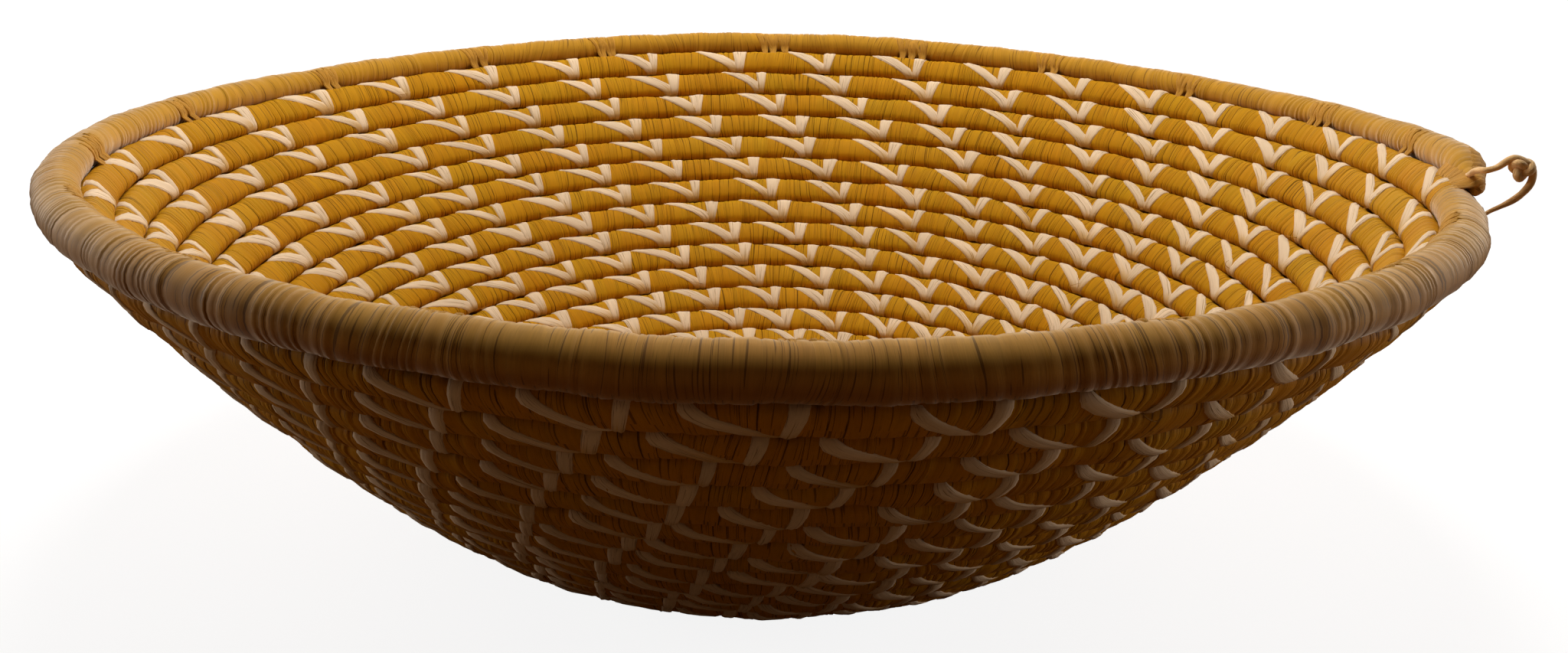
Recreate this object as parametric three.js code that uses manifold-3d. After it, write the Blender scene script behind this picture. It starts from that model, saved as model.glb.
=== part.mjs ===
// Coiled basket: one bundle of fibre wound in a spiral from the middle of a flat base up to the rim,
// each round laid on the round before it, with a small knotted hanging loop at the coil's loose end.
// Millimetres, +Z up. The floor is z = 0 and the Z axis runs through the middle of the base.
// A place along the coil is told as a number of rounds from the loose end at the rim, inwards.
import * as THREE from "three";
import { mergeVertices } from "three/addons/utils/BufferGeometryUtils.js";
import Module from "manifold-3d";

// The bowl's shape: the wall leans at one slope under the rim and at a flatter one at its foot
const rimRadius = 150;
const rimSlope = 53.5;
const footSlope = 39.3;
const wallRounds = 15.2;
const footSoftness = 0.76;
const looseEndAzimuth = -17.5;

// The coil
const coilPitch = 7.7;
const coilThickness = 8.7;
const coilFlat = 3.0;
const roundGap = 0.45;
const endGap = 0.3;
const floorCut = coilThickness / 10;
const stepsPerRound = 30;

// The rim, whose upper side is free and round, and the loose end that thins down to the outer side of the
// round below
const crownHeight = 4.0;
const crownSteps = 4;
const looseEndTaper = 34;
const looseEndShare = 0.42;

// The curl that the coil starts from
const curlRidgeShare = 0.55;
const curlDimple = 0.6;

// The hanging loop. Its points are chosen by hand, as [outwards, upwards] from the rim's centre line,
// and its two ends stand off the rim and the knot at the angles named here.
const loopAzimuth = -18.5;
const loopCord = 1.5;
const loopCordSides = 8;
const strandSteps = 14;
const knotCentre = [9.6, 8.9];
const knotDiameter = 4.6;
const knotHeight = 5.0;
const knotSides = 12;
const upperStrand = { atRim: 88, bends: [[1.6, 7.5], [3.4, 8.0], [5.1, 8.7]], atKnot: 168 };
const lowerStrand = { atRim: -2, bends: [[7.0, 0.9], [8.9, 2.3], [10.3, 3.8]], atKnot: -65 };

const materials = {
  coil: { color: 0xb8862b, roughness: 0.85, metalness: 0 },
  rim: { color: 0xb48a45, roughness: 0.85, metalness: 0 },
  cord: { color: 0xa47a3e, roughness: 0.9, metalness: 0 },
};

const toRadians = Math.PI / 180;
const wasm = await Module();
wasm.setup();

// The wall's slope at a place along the coil, easing to the flat of the base
function slopeAt(place) {
  const alongWall = THREE.MathUtils.clamp(place / wallRounds, 0, 1);
  const wallSlope = THREE.MathUtils.lerp(rimSlope, footSlope, alongWall) * toRadians;
  return wallSlope / (1 + Math.exp((place - wallRounds) / footSoftness));
}

// The coil's centre line as [radius, height], one sample a step. It starts one round outside the loose end
// and runs in to the axis, so that every round has a neighbour on both sides to be laid against.
function windCentreLine() {
  const stepLength = coilPitch / stepsPerRound;
  const point = new THREE.Vector2(
    rimRadius + coilPitch * Math.cos(slopeAt(-0.5)),
    coilPitch * Math.sin(slopeAt(-0.5)),
  );
  const line = [point.clone()];
  while (point.x > -coilPitch) {
    const slope = slopeAt((line.length - 0.5) / stepsPerRound - 1);
    point.x -= stepLength * Math.cos(slope);
    point.y -= stepLength * Math.sin(slope);
    line.push(point.clone());
  }
  const lift = coilThickness / 2 - floorCut - point.y;
  return line.map((sample) => new THREE.Vector2(sample.x, sample.y + lift));
}

const centreLine = windCentreLine();

function centreAt(place) {
  const sample = THREE.MathUtils.clamp((place + 1) * stepsPerRound, 0, centreLine.length - 1.001);
  const before = Math.floor(sample);
  return centreLine[before].clone().lerp(centreLine[before + 1], sample - before);
}

// Whole rounds, as many as leave room for the curl
function countRounds() {
  let rounds = 1;
  while (centreAt(rounds + 1).x > coilPitch * 0.75) {
    rounds += 1;
  }
  return rounds;
}

const coilRounds = countRounds();
const azimuthAt = (place) => (looseEndAzimuth + place * 360) * toRadians;

// The line midway between a round and the one inside it, with the directions along and across the wall
function seatBelow(place) {
  const upper = centreAt(place);
  const lower = centreAt(place + 1);
  const along = upper.clone().sub(lower).normalize();
  const across = new THREE.Vector2(along.y, -along.x);
  return { middle: upper.lerp(lower, 0.5), along, across };
}

function pointFrom(origin, along, alongBy, across, acrossBy) {
  return origin.clone().addScaledVector(along, alongBy).addScaledVector(across, acrossBy);
}

// A round's section as [radius, height] points: a flat face to each neighbour, half a gap from the line
// midway between them, and a ridge on the inside and the outside of the wall
function rowSection(place) {
  const above = seatBelow(place - 1);
  const below = seatBelow(place);
  const centre = centreAt(place);
  const across = above.across.clone().add(below.across).normalize();
  return [
    pointFrom(above.middle, above.along, -roundGap / 2, above.across, -coilFlat / 2),
    pointFrom(above.middle, above.along, -roundGap / 2, above.across, coilFlat / 2),
    centre.clone().addScaledVector(across, coilThickness / 2),
    pointFrom(below.middle, below.along, roundGap / 2, below.across, coilFlat / 2),
    pointFrom(below.middle, below.along, roundGap / 2, below.across, -coilFlat / 2),
    centre.clone().addScaledVector(across, -coilThickness / 2),
  ];
}

// The rim's section: a round crown over the face that rests on the round below
function rimSection(place) {
  const { middle, along, across } = seatBelow(place);
  const centre = centreAt(place);
  const seat = middle.clone().addScaledVector(along, roundGap / 2);
  const section = [];
  for (let step = 0; step <= crownSteps; step += 1) {
    const angle = Math.PI * (step / crownSteps);
    const height = crownHeight * Math.sin(angle);
    section.push(pointFrom(centre, along, height, across, -coilThickness / 2 * Math.cos(angle)));
  }
  section.push(pointFrom(seat, along, 0, across, coilFlat / 2));
  section.push(pointFrom(seat, along, 0, across, -coilFlat / 2));
  const fromEnd = place * 2 * Math.PI * rimRadius;
  const thinning = THREE.MathUtils.smoothstep(fromEnd, 0, looseEndTaper);
  const share = THREE.MathUtils.lerp(looseEndShare, 1, thinning);
  const leanTo = seat.clone().addScaledVector(across, coilFlat / 2);
  return section.map((point) => point.sub(leanTo).multiplyScalar(share).add(leanTo));
}

const inSpace = (point, azimuth) => new THREE.Vector3(
  point.x * Math.cos(azimuth),
  point.x * Math.sin(azimuth),
  point.y,
);

function geometryOf(points, triangles) {
  const geometry = new THREE.BufferGeometry();
  const positions = points.flatMap((point) => point.toArray());
  geometry.setAttribute("position", new THREE.Float32BufferAttribute(positions, 3));
  geometry.setIndex(triangles);
  return geometry;
}

// The faces between one ring of points and the next, where ring and next are their first points' indices
function band(ring, next, sides) {
  const triangles = [];
  for (let side = 0; side < sides; side += 1) {
    const beside = (side + 1) % sides;
    triangles.push(ring + side, ring + beside, next + beside);
    triangles.push(ring + side, next + beside, next + side);
  }
  return triangles;
}

// A tube through rings of points, closed by a flat face at both ends
function tubeBody(rings) {
  const sides = rings[0].length;
  const last = (rings.length - 1) * sides;
  const triangles = [];
  for (let ring = 0; ring < last; ring += sides) {
    triangles.push(...band(ring, ring + sides, sides));
  }
  for (let side = 1; side < sides - 1; side += 1) {
    triangles.push(0, side + 1, side);
    triangles.push(last, last + side, last + side + 1);
  }
  return geometryOf(rings.flat(), triangles);
}

// One round of the coil, half an end gap short at both ends
function coilRound(start, section) {
  const trim = endGap / 2 / (2 * Math.PI * centreAt(start + 1).x);
  const rings = [];
  for (let step = 0; step <= stepsPerRound; step += 1) {
    const place = THREE.MathUtils.clamp(start + step / stepsPerRound, start + trim, start + 1 - trim);
    rings.push(section(place).map((point) => inSpace(point, azimuthAt(place))));
  }
  return tubeBody(rings);
}

// The curl fills what the innermost round leaves: a comma, with a step where the coil's inner end stops
function centreCurl() {
  const start = coilRounds - 1;
  const trim = endGap / 2 / (2 * Math.PI * centreAt(start).x);
  const middle = centreAt(coilRounds).y;
  const top = middle + coilThickness / 2;
  const bottom = middle - coilThickness / 2;
  const points = [];
  for (let step = 0; step <= stepsPerRound; step += 1) {
    const place = start + trim + step / stepsPerRound;
    const faceRadius = seatBelow(place).middle.x - roundGap / 2;
    const ridgeRadius = faceRadius * curlRidgeShare;
    const profile = [
      new THREE.Vector2(ridgeRadius, top),
      new THREE.Vector2(faceRadius, middle + coilFlat / 2),
      new THREE.Vector2(faceRadius, middle - coilFlat / 2),
      new THREE.Vector2(ridgeRadius, bottom),
    ];
    points.push(...profile.map((point) => inSpace(point, azimuthAt(place))));
  }
  const sides = 4;
  const ringCount = stepsPerRound + 1;
  const topCentre = points.push(new THREE.Vector3(0, 0, top - curlDimple)) - 1;
  const bottomCentre = points.push(new THREE.Vector3(0, 0, bottom)) - 1;
  const triangles = [];
  for (let ring = 0; ring < ringCount; ring += 1) {
    const here = ring * sides;
    const next = ((ring + 1) % ringCount) * sides;
    for (let side = 0; side < sides - 1; side += 1) {
      triangles.push(here + side, here + side + 1, next + side + 1);
      triangles.push(here + side, next + side + 1, next + side);
    }
    triangles.push(topCentre, here, next);
    triangles.push(bottomCentre, next + sides - 1, here + sides - 1);
  }
  return geometryOf(points, triangles);
}

// Cuts a body flat where it stands on the floor
function cutAtFloor(geometry) {
  const merged = mergeVertices(geometry, 1e-4);
  const solid = new wasm.Manifold(new wasm.Mesh({
    numProp: 3,
    vertProperties: merged.attributes.position.array,
    triVerts: new Uint32Array(merged.index.array),
  }));
  const mesh = solid.trimByPlane([0, 0, 1], 0).getMesh();
  const cut = new THREE.BufferGeometry();
  cut.setAttribute("position", new THREE.Float32BufferAttribute(mesh.vertProperties, 3));
  cut.setIndex(Array.from(mesh.triVerts));
  return cut;
}

function standsOnFloor(geometry) {
  geometry.computeBoundingBox();
  return geometry.boundingBox.min.z < 0;
}

function namedMesh(name, geometry, material) {
  geometry.computeVertexNormals();
  const mesh = new THREE.Mesh(geometry, new THREE.MeshStandardMaterial(material));
  mesh.name = name;
  return mesh;
}

const numbered = (name, number) => `${name}_${String(number).padStart(2, "0")}`;

// The coil's rounds, from the rim in to the curl, numbered as they are wound: from the middle outwards
function windCoil() {
  const coil = new THREE.Group();
  const lastWallRound = Math.floor(wallRounds) - 1;
  coil.add(namedMesh("rim_turn", coilRound(0, rimSection), materials.rim));
  for (let round = 1; round < coilRounds; round += 1) {
    const onWall = round <= lastWallRound;
    const name = onWall
      ? numbered("wall_turn", lastWallRound + 1 - round)
      : numbered("base_turn", coilRounds - round);
    const body = coilRound(round, rowSection);
    coil.add(namedMesh(name, standsOnFloor(body) ? cutAtFloor(body) : body, materials.coil));
  }
  coil.add(namedMesh("centre_curl", cutAtFloor(centreCurl()), materials.coil));
  return coil;
}

// The shortest way between the faces of two neighbouring rounds, found on points along their sections
function leastRoundGap() {
  const pointsPerEdge = 6;
  let least = Infinity;
  for (let step = stepsPerRound; step < coilRounds * stepsPerRound; step += 1) {
    const place = step / stepsPerRound;
    const outer = (place < 2 ? rimSection : rowSection)(place - 1).map((point) => inSpace(point, 0));
    const inner = rowSection(place).map((point) => inSpace(point, 0));
    for (let side = 0; side < inner.length; side += 1) {
      const edge = new THREE.Line3(inner[side], inner[(side + 1) % inner.length]);
      for (let share = 0; share < pointsPerEdge; share += 1) {
        const point = edge.at(share / pointsPerEdge, new THREE.Vector3());
        for (let face = 0; face < outer.length; face += 1) {
          const faceEdge = new THREE.Line3(outer[face], outer[(face + 1) % outer.length]);
          const nearest = faceEdge.closestPointToPoint(point, true, new THREE.Vector3());
          least = Math.min(least, nearest.distanceTo(point));
        }
      }
    }
  }
  return least;
}

const polar = (centre, radius, degrees) => new THREE.Vector3(
  centre[0] + radius * Math.cos(degrees * toRadians),
  0,
  centre[1] + radius * Math.sin(degrees * toRadians),
);

// One strand of the loop, from the rim to the knot
function loopStrand({ atRim, bends, atKnot }) {
  const rimStandOff = coilThickness / 2 + endGap + loopCord / 2;
  const knotStandOff = Math.max(knotDiameter, knotHeight) / 2 + endGap + loopCord / 4;
  const route = new THREE.CatmullRomCurve3([
    polar([0, 0], rimStandOff, atRim),
    ...bends.map(([outwards, upwards]) => new THREE.Vector3(outwards, 0, upwards)),
    polar(knotCentre, knotStandOff, atKnot),
  ], false, "centripetal");
  const section = new THREE.Shape();
  for (let side = 0; side < loopCordSides; side += 1) {
    const angle = (side / loopCordSides) * 2 * Math.PI;
    const corner = [Math.cos(angle) * loopCord / 2, Math.sin(angle) * loopCord / 2];
    if (side === 0) {
      section.moveTo(...corner);
    } else {
      section.lineTo(...corner);
    }
  }
  return new THREE.ExtrudeGeometry(section, { steps: strandSteps, extrudePath: route });
}

function loopKnot() {
  const knot = new THREE.SphereGeometry(knotDiameter / 2, knotSides, knotSides - 4);
  knot.rotateX(Math.PI / 2);
  knot.scale(1, 1, knotHeight / knotDiameter);
  return knot;
}

// The loop hangs in an upright plane across the rim, just past the coil's loose end
function hangingLoop() {
  const place = 1 + (loopAzimuth - looseEndAzimuth) / 360;
  const azimuth = loopAzimuth * toRadians;
  const loop = new THREE.Group();
  loop.position.copy(inSpace(centreAt(place), azimuth));
  loop.rotation.z = azimuth;
  loop.add(namedMesh("loop_strand_upper", loopStrand(upperStrand), materials.cord));
  loop.add(namedMesh("loop_strand_lower", loopStrand(lowerStrand), materials.cord));
  const knot = namedMesh("loop_knot", loopKnot(), materials.cord);
  knot.position.set(knotCentre[0], 0, knotCentre[1]);
  loop.add(knot);
  return loop;
}

const basket = new THREE.Group();
basket.add(windCoil());
basket.add(hangingLoop());
console.log(`Least gap between rounds of the coil: ${leastRoundGap().toFixed(2)} mm`);

export default basket;
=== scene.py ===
"""A coiled basket: a bundle of fibre wrapped in ochre raffia, wound in a spiral from the middle of the base
up to the rim, and sewn round to round with pale raffia. A small knotted cord hangs on the rim where the coil
ends."""

import math

import bpy
import numpy as np
from mathutils import Matrix, Vector


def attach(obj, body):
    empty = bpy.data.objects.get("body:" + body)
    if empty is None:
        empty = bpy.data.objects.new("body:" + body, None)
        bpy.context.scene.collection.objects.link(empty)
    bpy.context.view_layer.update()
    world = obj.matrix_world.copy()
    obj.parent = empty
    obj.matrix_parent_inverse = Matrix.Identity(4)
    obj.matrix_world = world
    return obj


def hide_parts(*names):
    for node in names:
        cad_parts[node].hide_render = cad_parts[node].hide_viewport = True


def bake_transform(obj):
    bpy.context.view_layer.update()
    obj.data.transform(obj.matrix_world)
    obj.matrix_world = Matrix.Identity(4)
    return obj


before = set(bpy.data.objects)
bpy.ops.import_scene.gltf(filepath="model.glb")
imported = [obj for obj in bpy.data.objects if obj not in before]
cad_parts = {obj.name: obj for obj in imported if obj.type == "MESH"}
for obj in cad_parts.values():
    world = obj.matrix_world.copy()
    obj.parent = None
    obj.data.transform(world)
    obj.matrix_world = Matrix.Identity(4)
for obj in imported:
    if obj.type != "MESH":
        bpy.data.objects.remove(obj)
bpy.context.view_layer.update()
bpy.ops.object.select_all(action="DESELECT")

# The coil's line, in millimetres, wound as the solids are. A place along it is told as a number of rounds
# from the loose end at the rim, inwards.

RIM_RADIUS = 150.0
RIM_SLOPE = 53.5
FOOT_SLOPE = 39.3
WALL_ROUNDS = 15.2
FOOT_SOFTNESS = 0.76
LOOSE_END = -17.5
PITCH = 7.7
THICKNESS = 8.7
FLOOR_CUT = THICKNESS / 10
STEPS = 30
MOST_ROUNDS = 27
COIL_ROUNDS = 23
CURL_END = COIL_ROUNDS + 1.45
WALL_TURNS = 14
MM = 0.001


def slope_at(place):
    along_wall = np.clip(place / WALL_ROUNDS, 0, 1)
    slope = np.radians(RIM_SLOPE + (FOOT_SLOPE - RIM_SLOPE) * along_wall)
    return slope / (1 + np.exp((place - WALL_ROUNDS) / FOOT_SOFTNESS))


def wind_centre_line():
    steps = np.arange(1, MOST_ROUNDS * STEPS)
    slopes = slope_at((steps - 0.5) / STEPS - 1)
    first = slope_at(-0.5)
    radius = RIM_RADIUS + PITCH * math.cos(first) - np.cumsum(np.r_[0, np.cos(slopes)]) * PITCH / STEPS
    height = PITCH * math.sin(first) - np.cumsum(np.r_[0, np.sin(slopes)]) * PITCH / STEPS
    kept = np.argmax(radius < -PITCH) + 1
    radius, height = radius[:kept], height[:kept]
    return radius, height + THICKNESS / 2 - FLOOR_CUT - height[-1]


line_radius, line_height = wind_centre_line()


def centre_at(place):
    sample = (np.asarray(place, float) + 1) * STEPS
    samples = np.arange(len(line_radius))
    return np.stack([np.interp(sample, samples, line_radius), np.interp(sample, samples, line_height)], -1)


def azimuth_at(place):
    return np.radians(LOOSE_END + 360 * np.asarray(place, float))


def smooth(low, high, value):
    share = np.clip((value - low) / (high - low), 0, 1)
    return share * share * (3 - 2 * share)


# The real bowl is a little out of round and its rim isn't quite level, more so the higher up. The solids are
# left round. Each wave is told by its number in a turn and its cosine and sine shares of the radius.
FULL_HEIGHT = 89.5
OUT_OF_ROUND = ((2, -0.0017, -0.0055), (3, -0.0051, 0.0094))
OUT_OF_LEVEL = ((2, -0.0073, -0.0026), (3, -0.0008, -0.0068))


def wave_round(turn, waves_in_turn):
    return sum(cosine * np.cos(number * turn) + sine * np.sin(number * turn)
               for number, cosine, sine in waves_in_turn)


def settle(points):
    x, y, z = np.moveaxis(points, -1, 0)
    turn = np.arctan2(y, x)
    much = (np.clip(z, 0, None) / FULL_HEIGHT) ** 1.5
    wider = 1 + much * wave_round(turn, OUT_OF_ROUND)
    raised = much * RIM_RADIUS * wave_round(turn, OUT_OF_LEVEL)
    return np.stack([x * wider, y * wider, z + raised], -1)


# Where the sewing goes through

WALL_STITCHES = 32
SWIRL_DEGREES = 2.5
STITCH_STEP = (360 - SWIRL_DEGREES) / WALL_STITCHES / 360
FEWER_STITCHES = (WALL_STITCHES, 24, 16, 12, 8)
FEWEST_STITCHES = 6
FIRST_TIP = 1.31004
FIRST_SEWN = 0.985
TIP_SPACING = 11.0
TIP_SPREAD = 0.9
# How far a stitch is from its even place, in degrees, on average and as waves round the bowl
TIP_SHIFT = 1.15
TIP_WAVES = ((1, -1.35, -0.59), (2, 1.95, 1.70), (3, 1.66, -1.14))
# The rounds over which this fades away inwards
TIP_FADING = (13, 17)


def stitch_places():
    """The places along the coil whose lower side a stitch is drawn down to."""
    place = FIRST_TIP
    while place - STITCH_STEP > FIRST_SEWN:
        place -= STITCH_STEP
    found = []
    while place < COIL_ROUNDS - 0.5:
        found.append(place)
        round_length = 2 * math.pi * float(centre_at(place + 0.5)[0])
        counts = [count for count in FEWER_STITCHES if round_length / count >= TIP_SPACING]
        place += STITCH_STEP * WALL_STITCHES / (counts[0] if counts else FEWEST_STITCHES)
    found = np.array(found)
    shift = TIP_SHIFT + wave_round(azimuth_at(found), TIP_WAVES)
    found = found + shift / 360 * (1 - smooth(*TIP_FADING, found))
    uneven = np.random.default_rng(21).normal(0, TIP_SPREAD, len(found))
    return found + uneven / (2 * math.pi * np.maximum(centre_at(found)[:, 0], 8))


TIPS = stitch_places()

# The rim is bound to the round under it with strands of its own, drawn down to these azimuths. Those past 200
# are hidden in the photograph.
TIE_AZIMUTHS = (-2.5, 14.0, 34.5, 53.2, 71.2, 89.5, 111.5, 128.2, 148.3,
                170.2, 190.6, 211.0, 231.8, 252.4, 271.5, 291.0, 311.3, 329.4)
TIE_SPACING = 3.2
TIE_SPREAD = 0.35


def tie_places():
    draw = np.random.default_rng(31)
    found = []
    for azimuth in TIE_AZIMUTHS:
        first = ((azimuth - LOOSE_END) % 360) / 360
        count = int(draw.choice([2, 2, 3]))
        for one in range(count):
            along = (one - (count - 1) / 2) * TIE_SPACING + draw.normal(0, TIE_SPREAD)
            found.append(first + along / (2 * math.pi * RIM_RADIUS))
    return np.sort(np.array(found))


TIES = tie_places()


def bump(apart, width):
    """1 in the middle, and less with the distance from it."""
    return np.exp(-(apart / width) ** 2)


def nearest(places, place):
    """How far along the coil the nearest of some places is, in millimetres, less than 0 before it."""
    after = np.clip(np.searchsorted(places, place), 1, len(places) - 1)
    left, right = place - places[after - 1], place - places[after]
    apart = np.where(np.abs(left) < np.abs(right), left, right)
    return apart * 2 * math.pi * np.abs(centre_at(place)[..., 0])


# The surface of the wound coil

ROW_SQUARENESS = 3.3
RIM_SQUARENESS = 2.1
ROW_HALF = PITCH / 2 + 0.03
CROWN = 3.75
OUTER_HALF = 4.05
INNER_HALF = 4.25
# How far the outside stays above the floor
FLOOR_ROOM = 0.4
# A row is a little thinner at a stitch than between two
TIP_THINNING = 0.12
THINNING_REACH = 26
# A stitch pinches the rows that it draws together, less in the base
PINCH = 0.55
PINCH_WIDTH = 1.7
PINCH_FADING = (11, 14)
TIE_PINCH = 0.35
TIE_WIDTH = 2.6
# The rim's round section turns into a row's squarer one between these places
CROWN_FADING = (0.985, 1.03)
# The loose end: where it thins, how thin it is, and how far it leans out and is rounded off. The row under it
# swells where the end lies on it.
TAIL = (-5.0, 20.0)
TAIL_SHARE = 0.29
TAIL_LEAN = 1.35
TAIL_NOSE = 2.6
TAIL_SEAT = 1.8
TAIL_SEAT_PLACE = 0.998
TAIL_SEAT_WIDTH = 11


def waves(seed, lengths, size):
    """A gentle random wave along the coil, from its length in millimetres."""
    draw = np.random.default_rng(seed)
    phases = draw.uniform(0, 2 * math.pi, len(lengths))

    def wave(along):
        return sum(size * np.sin(2 * math.pi * along / length + phase)
                   for length, phase in zip(lengths, phases))
    return wave


# The row swells, its line sways across the wall, and its wraps lean
swell = waves(11, (9.1, 17.3, 31.0, 53.0), 0.06)
sway = waves(12, (23.0, 41.0, 77.0), 0.10)
lean = waves(13, (29.0, 61.0, 140.0), 0.40)

fine_places = np.linspace(-0.2, 25, 25 * 360)
fine_lengths = np.r_[0, np.cumsum(np.diff(fine_places) * 2 * math.pi
                                  * np.abs(centre_at(fine_places[1:])[:, 0]))]


def length_at(place):
    return np.interp(place, fine_places, fine_lengths)


def section_at(place):
    """A row's middle, its upward and outward directions, its half height, and how much of its size it has."""
    middle = centre_at(place)
    up = centre_at(place - 0.5) - centre_at(place + 0.5)
    up /= np.linalg.norm(up, axis=-1, keepdims=True)
    out = np.stack([up[..., 1], -up[..., 0]], -1)
    # The innermost turn narrows into the curl in the middle
    outer = (centre_at(place)[..., 0] + centre_at(place - 1)[..., 0]) / 2
    inner = np.maximum((centre_at(place)[..., 0] + centre_at(place + 1)[..., 0]) / 2, 0.1)
    outer = np.where(place > COIL_ROUNDS + 1, np.maximum(outer, 0.3), outer)
    curled = place > COIL_ROUNDS
    half_high = np.where(curled, (outer - inner) / 2, ROW_HALF)
    middle[..., 0] = np.where(curled, (outer + inner) / 2, middle[..., 0])
    size = np.where(curled, 0.5 + 0.5 * half_high / ROW_HALF, 1.0)
    # The loose end thins down to the outer side of the round below, and is rounded off
    from_end = place * 2 * math.pi * RIM_RADIUS
    nose = np.sqrt(1 - (1 - np.clip(from_end / TAIL_NOSE, 0.02, 1)) ** 2)
    share = np.where(place < 0.5, (TAIL_SHARE + (1 - TAIL_SHARE) * smooth(*TAIL, from_end)) * nose, 1)
    seat = (middle + centre_at(place + 1)) / 2 + out * TAIL_LEAN
    middle = seat + (middle - seat) * share[..., None]
    return middle, up, out, half_high * share, size * share


def coil_surface(place, turn, lift):
    """Points on the coil, in millimetres. turn goes round the row, from the basket's outside over the row's
    upper side to the inside, and lift is the height above the wrapping."""
    place, turn, lift = np.broadcast_arrays(np.asarray(place, float), turn, lift)
    middle, up, out, half_high, size = section_at(place)
    along = length_at(place)
    crown = 1 - smooth(*CROWN_FADING, place)
    cosine, sine = np.cos(turn), np.sin(turn)
    squareness = ROW_SQUARENESS + (RIM_SQUARENESS - ROW_SQUARENESS) * crown
    below = nearest(TIPS, place)
    above = nearest(TIPS, place - 1)
    pinch = PINCH * (1 - 0.85 * smooth(*PINCH_FADING, place))
    dent = pinch * (bump(below, PINCH_WIDTH) * np.clip(-sine, 0, 1) ** 6
                    + bump(above, PINCH_WIDTH) * np.clip(sine, 0, 1) ** 6 * (place > 2))
    tie_dent = TIE_PINCH * bump(nearest(TIES, place), TIE_WIDTH)
    dent = dent + tie_dent * np.clip(-sine, 0, 1) ** 2 * (place < 1)
    high = half_high + (CROWN - ROW_HALF) * crown * (sine > 0) * size + swell(along) * size - dent + lift
    from_seat = (place - TAIL_SEAT_PLACE) * 2 * math.pi * RIM_RADIUS
    swollen = OUTER_HALF + TAIL_SEAT * bump(from_seat, TAIL_SEAT_WIDTH)
    half_thick = np.where(cosine > 0, swollen, INNER_HALF) * size
    between_tips = np.clip(np.abs(below) / THINNING_REACH, 0, 0.5)
    thick = half_thick + swell(along) * size - TIP_THINNING * np.cos(2 * math.pi * between_tips) + lift
    floor_room = (middle[..., 1] - FLOOR_ROOM + lift) / np.maximum(-out[..., 1], 0.2)
    thick = np.where(cosine > 0, np.minimum(thick, floor_room), thick)
    across = np.sign(cosine) * np.abs(cosine) ** (2 / squareness) * thick + sway(along) * (place < 15)
    upward = np.sign(sine) * np.abs(sine) ** (2 / squareness) * high
    spot = middle + out * across[..., None] + up * upward[..., None]
    azimuth = azimuth_at(place)
    radius = spot[..., 0]
    return settle(np.stack([radius * np.cos(azimuth), radius * np.sin(azimuth), spot[..., 1]], -1))


# Meshes

FLOOR_CLEARANCE = 0.02


def mesh_piece(name, points, faces, uv, values=None, flat_faces=0):
    """An object from points in millimetres and a list of face arrays, each of one kind of polygon. uv has a
    pair for each corner, in the faces' order, and values are named numbers for each point. The last
    flat_faces faces are flat. Nothing goes under the floor."""
    corners = np.concatenate([part.ravel() for part in faces])
    sizes = np.concatenate([np.full(len(part), part.shape[1]) for part in faces])
    starts = np.r_[0, np.cumsum(sizes)[:-1]]
    mesh = bpy.data.meshes.new(name)
    mesh.vertices.add(len(points))
    resting = np.column_stack([points[:, :2], np.maximum(points[:, 2], FLOOR_CLEARANCE)])
    mesh.vertices.foreach_set("co", (resting * MM).astype(np.float32).ravel())
    mesh.loops.add(len(corners))
    mesh.loops.foreach_set("vertex_index", corners.astype(np.int32))
    mesh.polygons.add(len(sizes))
    mesh.polygons.foreach_set("loop_start", starts.astype(np.int32))
    shaded = np.ones(len(sizes), bool)
    if flat_faces:
        shaded[-flat_faces:] = False
    mesh.update(calc_edges=True)
    mesh.polygons.foreach_set("use_smooth", shaded)
    layer = mesh.uv_layers.new(name="strands")
    layer.uv.foreach_set("vector", uv.astype(np.float32).ravel())
    for key, numbers in (values or {}).items():
        attribute = mesh.attributes.new(key, "FLOAT", "POINT")
        attribute.data.foreach_set("value", numbers.astype(np.float32).ravel())
    mesh.validate()
    piece = bpy.data.objects.new(name, mesh)
    bpy.context.scene.collection.objects.link(piece)
    return piece


def encloses(points, quads):
    """Whether the quads face outwards."""
    a, b, c, d = (points[quads[:, corner]] for corner in range(4))
    return np.einsum("ij,ij->", a, np.cross(b, c)) + np.einsum("ij,ij->", a, np.cross(c, d)) > 0


def tube_faces(rings, sides):
    """Quads between the rings of a closed tube, in an array [ring, side, corner]."""
    ring = np.arange(rings - 1)[:, None]
    side = np.arange(sides)[None, :]
    beside = (side + 1) % sides
    return np.stack([ring * sides + side, ring * sides + beside, (ring + 1) * sides + beside,
                     (ring + 1) * sides + side], -1)


def tube_mesh(points, uv):
    """The faces of a closed tube and their map, turned outwards. points is [ring, side, xyz], and uv has one
    more number round each ring, where the map closes."""
    rings, sides = points.shape[:2]
    quads = tube_faces(rings, sides).reshape(-1, 4)
    corner_uv = np.stack([uv[:-1, :-1], uv[:-1, 1:], uv[1:, 1:], uv[1:, :-1]], 2).reshape(-1, 4, 2)
    caps = np.stack([np.arange(sides)[::-1], np.arange(sides) + (rings - 1) * sides])
    cap_uv = np.stack([uv[0, :-1][::-1], uv[-1, :-1]])
    if not encloses(points.reshape(-1, 3), quads):
        quads, corner_uv, caps, cap_uv = quads[:, ::-1], corner_uv[:, ::-1], caps[:, ::-1], cap_uv[:, ::-1]
    return quads, corner_uv, caps, cap_uv


ROW_SIDES = 20
# A wrap's rings, as shares of its width: its sunk edge and the two sides of its raised middle
WRAP_RINGS = (0.0, 0.2, 0.8)
SUNK_EDGE = -0.07


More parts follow.
